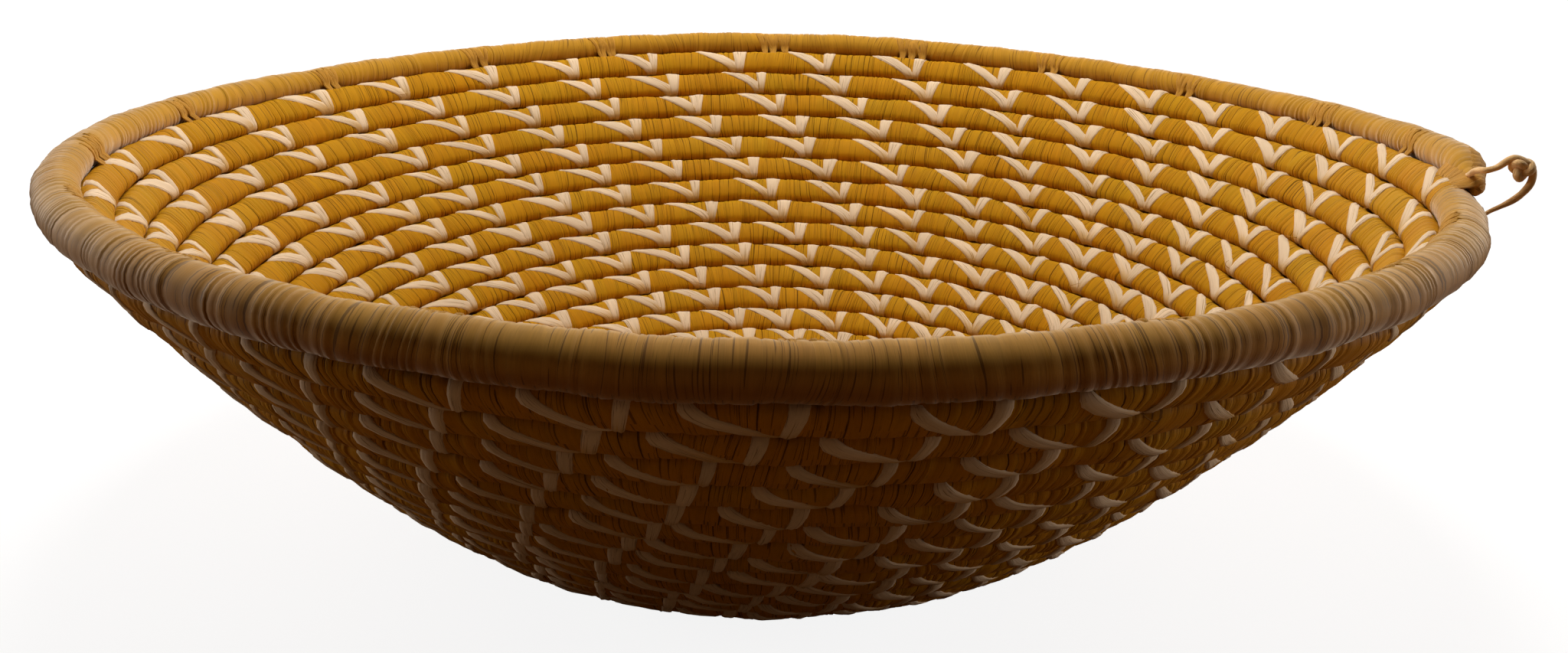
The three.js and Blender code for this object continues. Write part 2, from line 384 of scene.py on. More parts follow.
def hollow_shade_at(place, turn):
    """How deep in a gap between the strands a point of the wrapping is, from 0 to 1, for the painted shade in
    its colour.
    """
    sine = np.sin(turn)
    below, above = nearest(TIPS, place), nearest(TIPS, place - 1)
    hollow = (bump(below, 1.4) * smooth(0.75, 0.98, -sine) * (place > 1)
              + bump(above, 1.4) * smooth(0.75, 0.98, sine) * (place > 2))
    # Outside, the stitches part the wraps a little further up, with painted shade in the parting
    parted = 0.9 * bump(below, 2.0) * smooth(0.35, 0.8, -sine)
    hollow = hollow + parted * (np.cos(turn) > 0) * (place > 1)
    # Painted shade beside the rim's ties, and on the round below under them
    beside_tie, under_tie = np.abs(nearest(TIES, place)) - 1.5, np.abs(nearest(TIES, place - 1)) - 1.5
    tied_low = bump(beside_tie, 0.6) * smooth(0.55, 0.9, -sine)
    tied_top = bump(under_tie, 0.6) * smooth(0.7, 0.95, sine)
    hollow = hollow + tied_low * (place < 1) + tied_top * (place > 1) * (place < 2)
    return np.clip(hollow, 0, 1)


def wind_round(name, start, end, strip_width, seed, first_strip):
    """One round of the wrapped coil. Every wrap of raffia is a strip of its own, with its edges sunk."""
    draw = np.random.default_rng(seed)
    length = float(length_at(end) - length_at(start))
    count = max(3, round(length / strip_width))
    widths = np.clip(draw.lognormal(0, 0.5, count), 0.35, 2.5)
    edges = np.r_[0, np.cumsum(widths)] / widths.sum()
    low, high = edges[:-1], edges[1:]
    ring_share = np.stack([low + (high - low) * share for share in WRAP_RINGS], 1)
    relief = draw.uniform(0.02, 0.11, count)
    tilt = draw.normal(0, 0.025, count)
    ring_lift = np.stack([np.full(count, SUNK_EDGE), relief + tilt, relief - tilt], 1)
    ring_strip = np.arange(count)[:, None] + np.array(WRAP_RINGS)[None, :]
    ring_share = np.r_[ring_share.ravel(), 1.0]
    ring_lift = np.r_[ring_lift.ravel(), SUNK_EDGE]
    ring_strip = np.r_[ring_strip.ravel(), count] + first_strip
    place = (start + (end - start) * ring_share)[:, None]
    turn = (np.arange(ROW_SIDES) / ROW_SIDES * 2 * math.pi)[None, :]
    wobble = np.repeat(draw.normal(0, 0.5, count), len(WRAP_RINGS))
    wobble = np.r_[wobble, 0] * np.minimum(1, np.abs(np.sin(ring_share * math.pi)) * 20)
    circumference = 2 * math.pi * np.abs(centre_at(place)[..., 0]) + 12
    slant = lean(length_at(place)) * np.sin(turn)
    slant = slant + 0.10 * wobble[:, None] * np.sin(2 * turn + wobble[:, None] * 9)
    if end <= 1:
        # The rim's wraps draw together where it is tied down, and lean more
        tied = nearest(TIES, place)
        drawn = bump(tied, 4.5) * np.clip(-np.sin(turn), 0, 1) ** 1.5
        slant = (slant * 1.6 - 0.45 * tied * drawn) * smooth(0, 0.01, place) * smooth(1, 0.995, place)
    shifted = place + slant / circumference
    points = coil_surface(shifted, turn, ring_lift[:, None])
    around = np.arange(ROW_SIDES + 1) / ROW_SIDES
    uv = np.stack(np.broadcast_arrays(ring_strip[:, None], around[None, :]), -1)
    quads, corner_uv, caps, cap_uv = tube_mesh(points, uv)
    piece = mesh_piece(name, points.reshape(-1, 3), [quads, caps],
                       np.concatenate([corner_uv.reshape(-1, 2), cap_uv.reshape(-1, 2)]),
                       {"hollow": hollow_shade_at(shifted, turn)}, flat_faces=2)
    return piece, first_strip + count


# Strands of raffia over the coil

STRAND_RINGS = 9
# A strand's section: shares of its width with their heights, from one sunk edge to the other
RIBBON = np.array(((0.0, -0.22), (0.06, 0.10), (0.27, 0.17), (0.5, 0.20),
                   (0.73, 0.17), (0.94, 0.10), (1.0, -0.22)))
RIBBON_LIFT = 0.09


def height_share(turn):
    """0 at a row's upper edge and 1 at its lower edge, as the wall is seen."""
    sine = np.sin(turn)
    return 0.5 - np.sign(sine) * np.abs(sine) ** (2 / ROW_SQUARENESS) / 2


def ribbons(surface, middle, half, draw, thick=1.0, fibres=0.055, sink=0.35):
    """Flat strands. surface gives points for distances in millimetres clockwise, shares of the way and lifts,
    and middle and half are [strand, ring] arrays."""
    count, rings = middle.shape
    share = np.linspace(0, 1, rings)[None, :, None]
    way, height = RIBBON[:, 0], RIBBON[:, 1]
    ridges = draw.normal(0, fibres, (count, 1, len(way))) * (way * (1 - way) > 0.1)
    beside = middle[..., None] + half[..., None] * (2 * way - 1)
    ends = smooth(0, 0.11, share) * smooth(0, 0.09, 1 - share)
    lift = (RIBBON_LIFT + (height + ridges) * thick) * ends - sink * (1 - ends)
    points = surface(beside, np.broadcast_to(share, beside.shape), lift)
    u = np.r_[way, 1.0]
    uv = np.stack(np.broadcast_arrays(u[None, :], np.linspace(0, 1, rings)[:, None]), -1)
    quads, corner_uv, caps, cap_uv = tube_mesh(points[0], uv)
    step = (np.arange(count) * rings * len(way))[:, None, None]
    own = np.zeros((count, 1, 1, 2))
    own[..., 0] = draw.integers(0, 900, (count, 1, 1))
    return (points.reshape(-1, 3), (quads[None] + step).reshape(-1, 4),
            (caps[None] + step).reshape(-1, len(way)),
            (corner_uv[None] + own).reshape(-1, 2), (cap_uv[None] + own).reshape(-1, 2))


def join_strands(name, parts):
    """One piece from the meshes of several strands."""
    points, quads, caps, uvs, cap_uvs = [], [], [], [], []
    offset = 0
    for spot, quad, cap, uv, cap_uv in parts:
        points.append(spot)
        quads.append(quad + offset)
        caps.append(cap + offset)
        uvs.append(uv)
        cap_uvs.append(cap_uv)
        offset += len(spot)
    return mesh_piece(name, np.concatenate(points), [np.concatenate(quads), np.concatenate(caps)],
                      np.concatenate(uvs + cap_uvs))


STITCH_SPREAD = 0.3


def stitch_arm(tips, turn_from, turn_to, middle, half, draw, thick=1.0):
    """One arm of every stitch. middle and half are the arm's middle and half width along the row for heights
    from 0, the row's upper edge, to 1, its lower edge."""
    share = np.linspace(0, 1, STRAND_RINGS)
    turn = np.radians(turn_from + (turn_to - turn_from) * share)[None, :]
    height = height_share(turn)
    count = len(tips)
    reach = draw.normal(1, 0.09, (count, 1))
    shift = draw.normal(0, STITCH_SPREAD, (count, 1)) * (1 - height * 0.6)
    wide = draw.uniform(0.74, 1.12, (count, 1))
    radius = np.maximum(centre_at(tips)[:, 0], 3)[:, None, None]

    def surface(beside, share, lift):
        place = tips[:, None, None] - beside / (2 * math.pi * radius)
        return coil_surface(place, np.broadcast_to(turn[..., None], place.shape), lift)
    return ribbons(surface, middle(height) * reach + shift, half(height) * wide, draw, thick)


# The widest strand of a stitch: how far it reaches along the row, and its half width at some heights
LEAF_REACH = 12.0
LEAF_ROOM = 0.62
BASE_ROOM = 14.0
LEAF_HEIGHTS = (0, 0.06, 0.18, 0.4, 0.7, 1)
LEAF_HALVES = (0.5, 2.2, 3.5, 3.7, 2.7, 1.2)
CRESCENT_HALVES = (0.4, 1.3, 2.0, 2.5, 2.3, 1.0)


def sewing_round(name, tips, seed):
    """The stitches that tie one round to the next."""
    draw = np.random.default_rng(seed)
    radius = float(centre_at(tips.mean())[0])
    room = 2 * math.pi * radius / WALL_STITCHES if len(tips) > 24 else BASE_ROOM
    reach = min(LEAF_REACH, room * LEAF_ROOM)
    broad = reach / LEAF_REACH
    bow = draw.uniform(1.5, 2.15, (len(tips), 1))
    return join_strands(name, [
        # Inside: a leaf-shaped strip that swings down to the tip, and an upright one beside it
        stitch_arm(tips, 104, 262, lambda h: -reach * (1 - h) ** bow - 0.75,
                   lambda h: np.interp(h, LEAF_HEIGHTS, LEAF_HALVES) * broad, draw),
        stitch_arm(tips, 98, 266, lambda h: 0.85 - 0.35 * h, lambda h: 2.35 - 1.2 * h, draw, thick=1.25),
        # Outside: a long crescent that ends along the row's lower side, and a short stub
        stitch_arm(tips, 80, -78, lambda h: (reach - 1.0) * (1 - h ** 1.3),
                   lambda h: np.interp(h, LEAF_HEIGHTS, CRESCENT_HALVES) * broad, draw),
        stitch_arm(tips, 84, -85, lambda h: -1.9 * (1 - h), lambda h: 1.35 - 0.35 * h, draw, thick=1.25),
    ])


STRANDS_PER_TIE = 3
# The share of a tie's way that lies on the rim
TIE_ON_RIM = 0.78


def tie_strands(name, seed):
    """Strands of the rim's own raffia, drawn together to tips over the top of the round below."""
    draw = np.random.default_rng(seed)
    tips = np.repeat(TIES, STRANDS_PER_TIE)
    order = np.tile(np.arange(STRANDS_PER_TIE) - (STRANDS_PER_TIE - 1) / 2, len(TIES))[:, None]
    share = np.linspace(0, 1, STRAND_RINGS)[None, :]
    fan = order * draw.uniform(1.3, 2.1, (len(tips), 1)) - draw.uniform(0.5, 2.4, (len(tips), 1))
    middle = fan * (1 - share) ** 1.3 + order * 0.42 + draw.normal(0, 0.1, (len(tips), 1))
    half = (np.interp(share, (0, 0.2, 0.75, 0.93, 1), (0.3, 0.85, 0.66, 0.58, 0.25))
            * draw.uniform(0.75, 1.15, (len(tips), 1)))
    first = draw.uniform(122, 150, (len(tips), 1, 1))

    def surface(beside, share, lift):
        place = tips[:, None, None] - beside / (2 * math.pi * RIM_RADIUS)
        down = np.clip(share / TIE_ON_RIM, 0, 1)
        on_rim = first + (226 - first) * down
        on_row = 128 + 22 * np.clip((share - TIE_ON_RIM) / (1 - TIE_ON_RIM), 0, 1)
        rim_spot = coil_surface(place, np.radians(on_rim), lift)
        row_spot = coil_surface(place + 1, np.radians(on_row), lift)
        over = smooth(0.70, 0.92, share)[..., None]
        return rim_spot * (1 - over) + row_spot * over
    return join_strands(name, [ribbons(surface, middle, half, draw, 0.8, 0.03, 0.25)])


LAST_WRAPS = 13


def tail_strands(name, seed):
    """The last wraps of the rim, which fan out over its thinning end and on to the round below."""
    draw = np.random.default_rng(seed)
    count = LAST_WRAPS
    share = np.linspace(0, 1, STRAND_RINGS)[None, :, None]
    start = np.linspace(23.0, 0.5, count)[:, None, None] + draw.normal(0, 0.4, (count, 1, 1))
    end = np.linspace(13.0, -4.2, count)[:, None, None] + draw.normal(0, 0.3, (count, 1, 1))
    outer = np.linspace(-45, -5, count)[:, None, None]
    middle = np.zeros((count, STRAND_RINGS))
    half = (np.interp(share[..., 0], (0, 0.25, 0.8, 1), (0.7, 1.3, 1.1, 0.5))
            * draw.uniform(0.75, 1.2, (count, 1)))

    def surface(beside, share, lift):
        place = (start + (end - start) * smooth(0, 1, share) - beside) / (2 * math.pi * RIM_RADIUS)
        rim_spot = coil_surface(np.maximum(place, 0.0005), np.radians(outer + (205 - outer) * share), lift)
        row_spot = coil_surface(place + 1, np.radians(70 + 78 * share), lift)
        over = smooth(0.62, 0.95, share)[..., None]
        return rim_spot * (1 - over) + row_spot * over
    return join_strands(name, [ribbons(surface, middle, half, draw, 0.8, 0.03, 0.3)])


FIBRES = 150
FIBRES_END = 19
FIBRES_INSIDE = 0.72


def loose_fibres(name, seed):
    """Thin fibres that stand out at the stitches' tips."""
    draw = np.random.default_rng(seed)
    rings, sides = 6, 3
    parts = []
    for tip in draw.choice(TIPS[TIPS < FIBRES_END], FIBRES, replace=False):
        inside = draw.random() < FIBRES_INSIDE
        turn = math.radians(draw.uniform(205, 240) if inside else draw.uniform(-55, -20))
        radius = float(centre_at(tip)[0])
        share = np.linspace(0, 1, rings)
        run = draw.uniform(1.2, 5.2) * share * draw.choice([-1, 1])
        curl = draw.uniform(0.3, 1.5) * np.sin(share * draw.uniform(1.6, 3.0)) + 0.32
        place = tip + (draw.normal(0, 1.0) - run) / (2 * math.pi * radius)
        turns = turn + draw.uniform(-0.5, 0.3) * share
        line = coil_surface(place, turns, curl)
        thick = draw.uniform(0.06, 0.13) * (1 - 0.55 * share)
        ahead = np.gradient(line, axis=0)
        ahead /= np.linalg.norm(ahead, axis=1, keepdims=True) + 1e-9
        side = np.cross(ahead, (0.2, 0.3, 0.93))
        side /= np.linalg.norm(side, axis=1, keepdims=True) + 1e-9
        over = np.cross(ahead, side)
        around = np.arange(sides) / sides * 2 * math.pi
        points = (line[:, None] + side[:, None] * (np.cos(around)[None, :] * thick[:, None])[..., None]
                  + over[:, None] * (np.sin(around)[None, :] * thick[:, None])[..., None])
        uv = np.stack(np.broadcast_arrays(np.linspace(0.1, 0.9, sides + 1)[None, :] + draw.integers(0, 900),
                                          share[:, None]), -1)
        quads, corner_uv, caps, cap_uv = tube_mesh(points, uv)
        parts.append((points.reshape(-1, 3), quads, caps, corner_uv.reshape(-1, 2), cap_uv.reshape(-1, 2)))
    return join_strands(name, parts)


# The hanging cord

CORD_AZIMUTH = -18.5
CORD_LAY = 8.5
PLY_DEPTH = 0.11
# Azimuth, then outwards and upwards from the middle of the round under the rim, and the cord's diameter. The
# free part stands off the solids' points by what the rim is out of round there, so that it lies on them.
CORD_ROUTE = (
    (-14.4, 2.3, 3.6, 1.0), (-15.2, 2.58, 4.86, 1.1), (-15.8, 2.59, 5.68, 1.2),
    (-16.6, 2.68, 6.45, 1.25), (-17.4, 3.11, 7.45, 1.3), (-18.1, 3.71, 7.88, 1.3),
    (-18.5, 4.48, 8.06, 1.3), (-18.5, 6.17, 8.73, 1.3), (-18.5, 7.23, 9.61, 1.4),
    (-18.5, 8.27, 10.47, 1.5), (-18.5, 9.4, 10.82, 1.55), (-18.5, 11.28, 10.06, 1.55),
    (-18.5, 12.52, 8.87, 1.5), (-18.5, 12.76, 7.32, 1.5), (-18.5, 12.43, 5.72, 1.5),
    (-18.5, 11.28, 3.9, 1.5), (-18.5, 9.86, 2.46, 1.35), (-18.5, 7.91, 1.08, 1.05),
    (-18.5, 6.17, -0.02, 0.85), (-18.5, 4.95, -1.3, 0.85), (-18.5, 4.1, -2.9, 0.9),
    (-18.5, 2.8, -4.1, 0.9), (-18.5, 1.2, -4.9, 0.9))
KNOT_MIDDLE = (10.6, 8.8)
KNOT_SIZE = 0.58
KNOT_CORD = 1.7
KNOT_LAY = 6.0
# Where the cord stops following the rim and starts to follow the loop
BEND_START = (3.2, 4.0)
BEND_END = (8.8, 4.0)
CORD_STEP = 0.16


def cord_spot(azimuth, outwards, upwards):
    row = centre_at(1 + (azimuth - LOOSE_END) / 360)
    spot = np.array([(row[0] + outwards) * math.cos(math.radians(azimuth)),
                     (row[0] + outwards) * math.sin(math.radians(azimuth)), row[1] + upwards])
    return settle(spot)


LINE_STEPS = 24
LINE_SMOOTHINGS = 30


def flowing(points, spacing):
    """A smooth line through the points, as points at about that spacing."""
    points = np.asarray(points, float)
    before = np.r_[points[:1] * 2 - points[1:2], points[:-1]]
    after = np.r_[points[1:], points[-1:] * 2 - points[-2:-1]]
    slopes = (after - before) / 2
    t = np.linspace(0, 1, LINE_STEPS, endpoint=False)[:, None]
    pieces = [a * (1 + 2 * t) * (1 - t) ** 2 + u * t * (1 - t) ** 2
              + b * t * t * (3 - 2 * t) - v * t * t * (1 - t)
              for a, b, u, v in zip(points[:-1], points[1:], slopes[:-1], slopes[1:])]
    line = np.concatenate(pieces + [points[-1:]])
    for _ in range(LINE_SMOOTHINGS):
        line[1:-1] = line[1:-1] * 0.5 + (line[:-2] + line[2:]) * 0.25
    run = np.r_[0, np.cumsum(np.linalg.norm(np.diff(line[:, :3], axis=0), axis=1))]
    sample = np.linspace(0, run[-1], max(3, round(run[-1] / spacing)))
    return np.stack([np.interp(sample, run, line[:, part]) for part in range(line.shape[1])], -1)


def twisted_tube(name, line, diameters, lay, sides=20):
    """Two plies of raffia laid round each other along a line."""
    ahead = np.gradient(line, axis=0)
    ahead /= np.linalg.norm(ahead, axis=1, keepdims=True)
    side = np.zeros_like(ahead)
    side[0] = np.cross(ahead[0], (0.31, 0.22, 0.93))
    for at in range(len(line)):
        kept = side[at - 1] if at else side[0]
        side[at] = kept - ahead[at] * (kept @ ahead[at])
        side[at] /= np.linalg.norm(side[at])
    over = np.cross(ahead, side)
    run = np.r_[0, np.cumsum(np.linalg.norm(np.diff(line, axis=0), axis=1))]
    turn = np.arange(sides) / sides * 2 * math.pi
    twist = 2 * math.pi * run[:, None] / lay
    plies = np.abs(np.cos(turn[None, :] - twist)) ** 0.7
    radius = diameters[:, None] / 2 * (1 - PLY_DEPTH + PLY_DEPTH * plies)
    points = (line[:, None] + side[:, None] * (radius * np.cos(turn))[..., None]
              + over[:, None] * (radius * np.sin(turn))[..., None])
    around = np.arange(sides + 1) / sides
    uv = np.stack(np.broadcast_arrays(around[None, :] * 4 - run[:, None] / lay * 4, run[:, None] / 12), -1)
    quads, corner_uv, caps, cap_uv = tube_mesh(points, uv)
    return mesh_piece(name, points.reshape(-1, 3), [quads, caps],
                      np.concatenate([corner_uv.reshape(-1, 2), cap_uv.reshape(-1, 2)]))


# Finishes

def paint(code):
    """A colour as Blender mixes it, from the way it looks, as six hexadecimal digits."""
    parts = [int(code[at:at + 2], 16) / 255 for at in (0, 2, 4)]
    mixed = [part / 12.92 if part <= 0.04045 else ((part + 0.055) / 1.055) ** 2.4 for part in parts]
    return tuple(mixed) + (1.0,)


class Wire:
    """A number that varies over the surface. Sums on it add the nodes that work them out."""

    def __init__(self, finish, socket):
        self.finish, self.socket = finish, socket

    def work(self, operation, *others):
        return self.finish.node("ShaderNodeMath", {"operation": operation}, dict(enumerate((self,) + others)))

    def __add__(self, other):
        return self.work("ADD", other)

    def __mul__(self, other):
        return self.work("MULTIPLY", other)

    def __sub__(self, other):
        return self.work("SUBTRACT", other)

    def __rsub__(self, other):
        return self * -1 + other

    __radd__, __rmul__ = __add__, __mul__


class Finish:
    """A material in the making."""

    def __init__(self, name, tree=None):
        if tree is None:
            self.material = bpy.data.materials.new(name)
            self.material.use_nodes = True
            tree = self.material.node_tree
        self.tree = tree

    def node(self, kind, settings=None, sockets=None, out=0):
        made = self.tree.nodes.new(kind)
        for key, value in (settings or {}).items():
            if key == "stops":
                ramp = made.color_ramp
                while len(ramp.elements) < len(value):
                    ramp.elements.new(0.5)
                for element, (position, colour) in zip(ramp.elements, value):
                    element.position, element.color = position, colour
            else:
                setattr(made, key, value)
        for key, value in (sockets or {}).items():
            self.feed(made.inputs[key], value)
        return Wire(self, made.outputs[out])

    def feed(self, socket, value):
        if isinstance(value, Wire):
            self.tree.links.new(value.socket, socket)
        else:
            socket.default_value = value

    def mix(self, share, first, second, kind="MIX"):
        return self.node("ShaderNodeMix", {"data_type": "RGBA", "blend_type": kind},
                         {0: share, 6: first, 7: second}, out=2)

    def dim(self, colour, brightness):
        """The colour times a brightness that varies."""
        grey = self.node("ShaderNodeCombineColor", {}, {0: brightness, 1: brightness, 2: brightness})
        return self.mix(1.0, colour, grey, "MULTIPLY")

    def ramp(self, value, *stops):
        return self.node("ShaderNodeValToRGB", {"stops": stops}, {0: value})

    def between(self, value, low, high):
        """0 below low, 1 above high and a smooth step between, or the other way round."""
        return self.node("ShaderNodeMapRange", {"interpolation_type": "SMOOTHSTEP"},
                         {"Value": value, "From Min": low, "From Max": high, "To Min": 0.0, "To Max": 1.0})

    def most(self, first, second):
        return first.work("MAXIMUM", second)

    def noise(self, x, y, detail=2.0, rough=0.5):
        """A random pattern over two numbers, which set its size in both directions."""
        where = self.node("ShaderNodeCombineXYZ", {}, {0: x, 1: y})
        return self.node("ShaderNodeTexNoise", {"noise_dimensions": "2D"},
                         {"Vector": where, "Scale": 1.0, "Detail": detail, "Roughness": rough})

    def chance(self, number):
        """Three random numbers for a whole number."""
        drawn = self.node("ShaderNodeTexWhiteNoise", {"noise_dimensions": "1D"}, {"W": number}, out="Color")
        return [self.node("ShaderNodeSeparateColor", {}, {0: drawn}, out=part) for part in range(3)]

    def strands(self):
        """The two numbers that follow a piece's strands, from its own map."""
        placed = self.node("ShaderNodeUVMap", {"uv_map": "strands"})
        return [self.node("ShaderNodeSeparateXYZ", {}, {0: placed}, out=part) for part in range(2)]

    def shade(self, colour, roughness, height, depth, strength, **fixed):
        shader = self.tree.nodes["Principled BSDF"]
        self.feed(shader.inputs["Base Color"], colour)
        self.feed(shader.inputs["Roughness"], roughness)
        for name, value in fixed.items():
            shader.inputs[name.replace("_", " ")].default_value = value
        raised = self.node("ShaderNodeBump", {}, {"Height": height, "Distance": depth, "Strength": strength})
        self.feed(shader.inputs["Normal"], raised)
        return self.material


def fuzz(weight):
    """How much the fine fibres of the surface catch the light from behind."""
    return {"Specular_IOR_Level": 0.05, "Sheen_Weight": weight, "Sheen_Roughness": 0.4,
            "Sheen_Tint": (1.0, 0.84, 0.66, 1.0)}


def wrapped_raffia(name, olive, ochre, orange, shade_colour, slits=1.1, tones=0.10, fuzzy=0.015, rough=0.6,
                   painted_sides=False):
    """Strips of dyed raffia wound side by side, each of its own tone, with slits where they part. The slits,
    the cracks, the valleys between rows and the gaps at the stitches and ties take the shade colour, as
    painted shade. With painted sides, a rim is deeper in colour inside, paler on its top and outer side as
    painted sheen, and browner outside and below as painted shade."""
    finish = Finish(name)
    along, around = finish.strands()
    strip = along.work("FLOOR")
    across = along - strip
    tone, hue, parting = finish.chance(strip)
    upwards = (around * (2 * math.pi)).work("SINE")
    # lower grows towards a row's lower side: it shifts the colour there towards orange as painted warm bounce
    # light, and opens more painted-shade slits there. The outer side is shifted towards orange as well.
    lower = upwards * -0.10
    drift = finish.noise(along * 0.045, 0.0)
    patch = finish.noise(along * 0.14, around * 2.6)
    outwards = (around * (2 * math.pi)).work("COSINE")
    mixture = drift * 0.8 + hue * 0.16 + patch * 0.55 + lower + outwards * 0.14 - 0.16
    colour = finish.ramp(mixture, (0.2, olive), (0.5, ochre), (0.8, orange))
    # The rim's sides: deeper ochre inside, the paler colour on top and outside as painted sheen, and brown
    # painted shade outside and below
    if painted_sides:
        off_inside = finish.between(outwards + upwards * 0.4, -0.9, 0.1)
        outside = finish.between(outwards - upwards + drift * 0.5, 0.0, 1.1)
        colour = finish.mix(off_inside, RIM_INSIDE, colour)
        colour = finish.mix(outside, colour, RIM_OUTSIDE_SHADE)
    fibre = finish.noise(along * 8.0, around * 4.0 + tone * 20, 3.0, 0.62)
    fine = finish.noise(along * 19.0, around * 9.0, 1.0)
    band = finish.noise(along * 2.1, around * 1.6 + hue * 20)
    bright = 0.68 + (tone - 0.5) * tones + fibre * 0.32 + fine * 0.16 + band * 0.18
    colour = finish.dim(colour, bright)
    # Slits where the strips part, and fine cracks, are painted shade of the gaps
    near_edge = (across - 0.5).work("ABSOLUTE")
    broken = finish.noise(strip * 3.7, around * 5.0)
    open_here = finish.between(parting * slits + broken * 1.3 + lower, 1.1, 1.4)
    slit = finish.between(near_edge, 0.43, 0.49) * open_here
    crack = finish.noise(along * 7.3, around * 1.8 + 4.0, 1.0)
    crack = finish.between(crack, 0.62, 0.69) * 0.6
    # Painted shade in the valleys between rows; with painted sides, only on the lower side
    valley_shade = finish.between(upwards * -1 if painted_sides else upwards.work("ABSOLUTE"), 0.92, 1.0) * 0.75
    # Painted shade at the stitches' holes and beside the ties, from the mesh
    hollow = finish.node("ShaderNodeAttribute", {"attribute_name": "hollow"}, {}, out="Fac")
    # All the painted shade takes the shade colour
    painted_shade = finish.most(finish.most(slit * 0.85, hollow * 0.92), finish.most(crack, valley_shade))
    colour = finish.mix(painted_shade, colour, shade_colour)
    height = fibre * 0.5 + fine * 0.2 - slit * 0.9
    return finish.shade(colour, 0.55 + fibre * 0.16, height, 0.00018, rough, **fuzz(fuzzy))


def pale_raffia(name, cream, gold, shade_colour, golden_from=0.98, fuzzy=0.04):
    """Strands of raffia: fine fibres along the strand, with painted shade in the creases between them, and
    stained at its tip.
    """
    finish = Finish(name)
    side, along = finish.strands()
    tone, hue, stain = finish.chance(side.work("FLOOR"))
    fibre = finish.noise(side * 6.0, along * 1.1 + tone * 9, rough=0.55)
    fine = finish.noise(side * 15.0, along * 2.0 + hue * 9, rough=0.55)
    golden = finish.between(along + stain * 0.22 + fibre * 0.3, golden_from, golden_from + 0.3)
    colour = finish.mix(golden * 0.75, cream, gold)
    bright = 0.70 + tone * 0.12 + fibre * 0.26 + fine * 0.14
    colour = finish.dim(colour, bright)
    # Painted shade in the creases between fibres
    crease = finish.between(fine, 0.57, 0.68) * finish.between(fibre, 0.40, 0.58)
    colour = finish.mix(crease * 0.7, colour, shade_colour)
    return finish.shade(colour, 0.62 + fibre * 0.12, fibre * 0.7 + fine * 0.4 - crease * 0.6, 0.0002, 0.6,
                        **fuzz(fuzzy))


# The last colour given to each finish is its painted shade colour. Below: the rim's inside colour, and the
# brown of its painted shade outside and below
RIM_INSIDE, RIM_OUTSIDE_SHADE = paint("ba8620"), paint("96601e")
coil_finish = wrapped_raffia("ochre_raffia", paint("b88612"), paint("b9800f"), paint("b97a0d"),
                             paint("331703"))
rim_finish = wrapped_raffia("rim_raffia", paint("c6923c"), paint("c8903c"), paint("c2883a"), paint("3e200a"),
                            slits=0.5, tones=0.12, fuzzy=0.75, rough=0.3, painted_sides=True)
tie_finish = pale_raffia("tie_raffia", paint("c08a34"), paint("a87226"), paint("452708"), fuzzy=0.2)
rim_strand_finish = pale_raffia("rim_strand_raffia", paint("c28c3c"), paint("b47c30"), paint("452708"),
                                golden_from=2.0, fuzzy=0.2)
# The cord is given colours much paler than its raffia, as painted light on its side that the lamps hardly
# reach
cord_finish = pale_raffia("cord_raffia", paint("ffd090"), paint("fac27c"), paint("c8924e"),
                          golden_from=2.0, fuzzy=1.0)
sewing_finish = pale_raffia("pale_raffia", paint("e4c8a6"), paint("c2923e"), paint("80592c"),
                            golden_from=0.74)

# The basket's pieces


def finished(piece, finish, body, slot=None, *stands_for):
    """The piece with its finish, on its body, in place of the solids that it stands for."""
    piece.data.materials.append(finish)
    if body:
        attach(piece, body)
    if stands_for:
        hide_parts(*stands_for)
    return piece


# How wide a strip of the wrapping is on average
RIM_STRIP, WALL_STRIP, BASE_STRIP, CURL_STRIP = 2.3, 2.1, 1.6, 1.4


def wind_coil():
    strips = 0
    for turn in range(COIL_ROUNDS + 1):
        if turn == 0:
            node, slot, finish, width = "rim_turn", "raffia_rim", rim_finish, RIM_STRIP
        elif turn <= WALL_TURNS:
            node = f"wall_turn_{WALL_TURNS + 1 - turn:02d}"
            slot, finish, width = "raffia_coil", coil_finish, WALL_STRIP
        elif turn < COIL_ROUNDS:
            node = f"base_turn_{COIL_ROUNDS - turn:02d}"
            slot, finish, width = "raffia_coil", coil_finish, BASE_STRIP
        else:
            node, slot, finish, width = "centre_curl", "raffia_coil", coil_finish, CURL_STRIP
        end = turn + 1 if turn < COIL_ROUNDS else CURL_END
        piece, strips = wind_round(f"wrapped_{node}", turn, end, width, 100 + turn, strips)
        finished(piece, finish, "basket", slot, node)


def sew_coil():
    for turn in range(1, COIL_ROUNDS):
        first = FIRST_SEWN if turn == 1 else turn
        tips = TIPS[(TIPS >= first) & (TIPS < turn + 1)]
        if len(tips):
            piece = sewing_round(f"sewing_{COIL_ROUNDS - turn:02d}", tips, 300 + turn)
            finished(piece, sewing_finish, "basket")
    finished(tie_strands("rim_ties", 501), tie_finish, "basket", "raffia_rim")
    finished(tail_strands("last_wraps", 504), rim_strand_finish, "basket", "raffia_rim")
    finished(loose_fibres("loose_fibres", 503), tie_finish, "basket")


def overhand_line():
    """The knot's line, a trefoil that faces along the rim."""
    ahead = np.array((math.cos(math.radians(CORD_AZIMUTH)), math.sin(math.radians(CORD_AZIMUTH)), 0))
    beside = np.array((-ahead[1], ahead[0], 0))
    above = np.array((0, 0, 1))
    turn = np.linspace(0, 2 * math.pi, 121)[:, None]
    out = np.sin(turn) + 2 * np.sin(2 * turn)
    up = np.cos(turn) - 2 * np.cos(2 * turn)
    deep = -np.sin(3 * turn) * 1.6
    return cord_spot(CORD_AZIMUTH, *KNOT_MIDDLE) + KNOT_SIZE * (out * ahead + up * above + deep * beside)


